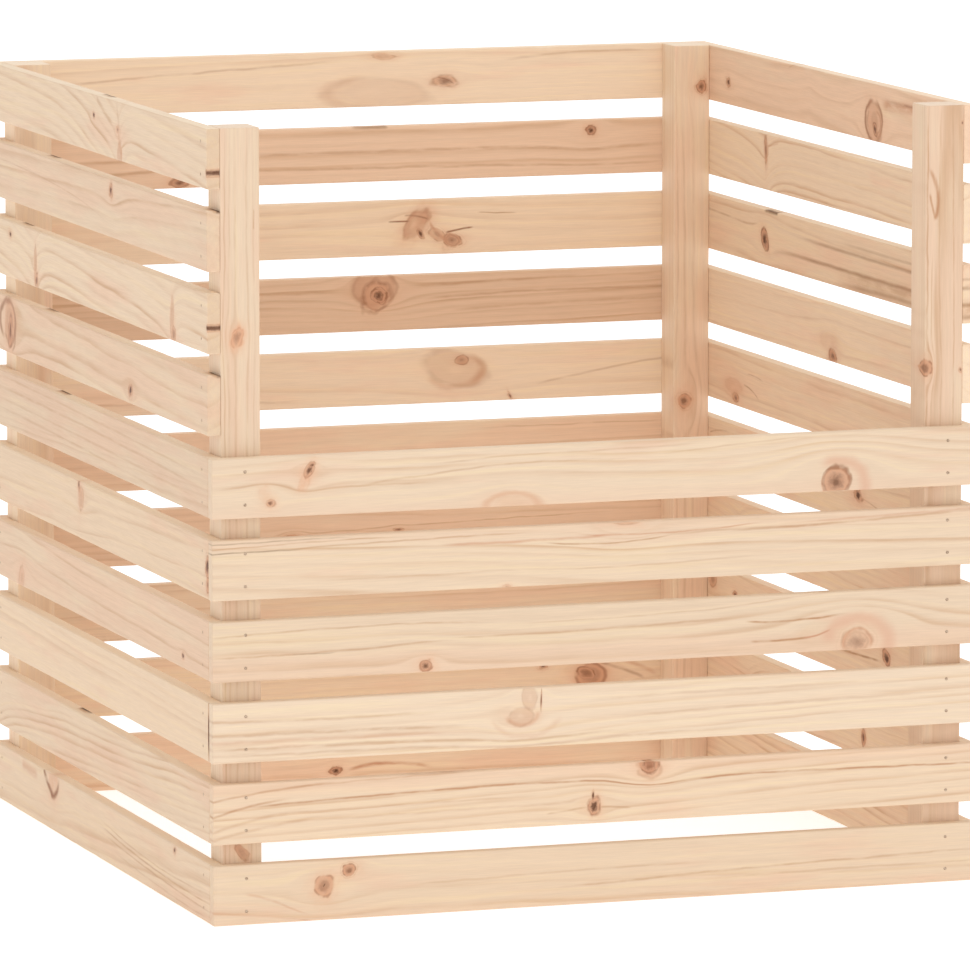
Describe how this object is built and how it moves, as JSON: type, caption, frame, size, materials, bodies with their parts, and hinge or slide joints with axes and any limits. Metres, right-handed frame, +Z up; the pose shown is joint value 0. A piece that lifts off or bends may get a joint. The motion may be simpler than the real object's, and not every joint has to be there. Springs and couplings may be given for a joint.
{
  "type": "compost bin",
  "caption": "Square open-topped compost bin of nailed pine slats on corner posts, with a lower slatted front and no floor.",
  "frame": {"origin": "on the ground, in the middle of the bin's plan", "axes": "+Z up, the low front wall faces -Y, +X to the right seen from the front"},
  "size_m": [0.8, 0.8, 0.78],
  "materials": {
    "pine_front": "planed, untreated",
    "pine_left": "planed, untreated",
    "pine_right": "planed, untreated",
    "pine_rear": "planed, untreated",
    "pine_post": "planed, untreated",
    "nail_steel": "zinc plated, dull"
  },
  "bodies": {
    "root": {"front_left_post": "pine_post", "front_right_post": "pine_post", "front_slat_01": "pine_front", "front_slat_02": "pine_front", "front_slat_03": "pine_front", "front_slat_04": "pine_front", "front_slat_05": "pine_front", "front_slat_06": "pine_front", "left_slat_01": "pine_left", "left_slat_02": "pine_left", "left_slat_03": "pine_left", "left_slat_04": "pine_left", "left_slat_05": "pine_left", "left_slat_06": "pine_left", "left_slat_07": "pine_left", "left_slat_08": "pine_left", "left_slat_09": "pine_left", "left_slat_10": "pine_left", "rear_left_post": "pine_post", "rear_right_post": "pine_post", "rear_slat_01": "pine_rear", "rear_slat_02": "pine_rear", "rear_slat_03": "pine_rear", "rear_slat_04": "pine_rear", "rear_slat_05": "pine_rear", "rear_slat_06": "pine_rear", "rear_slat_07": "pine_rear", "rear_slat_08": "pine_rear", "rear_slat_09": "pine_rear", "rear_slat_10": "pine_rear", "right_slat_01": "pine_right", "right_slat_02": "pine_right", "right_slat_03": "pine_right", "right_slat_04": "pine_right", "right_slat_05": "pine_right", "right_slat_06": "pine_right", "right_slat_07": "pine_right", "right_slat_08": "pine_right", "right_slat_09": "pine_right", "right_slat_10": "pine_right"}
  },
  "joints": []
}
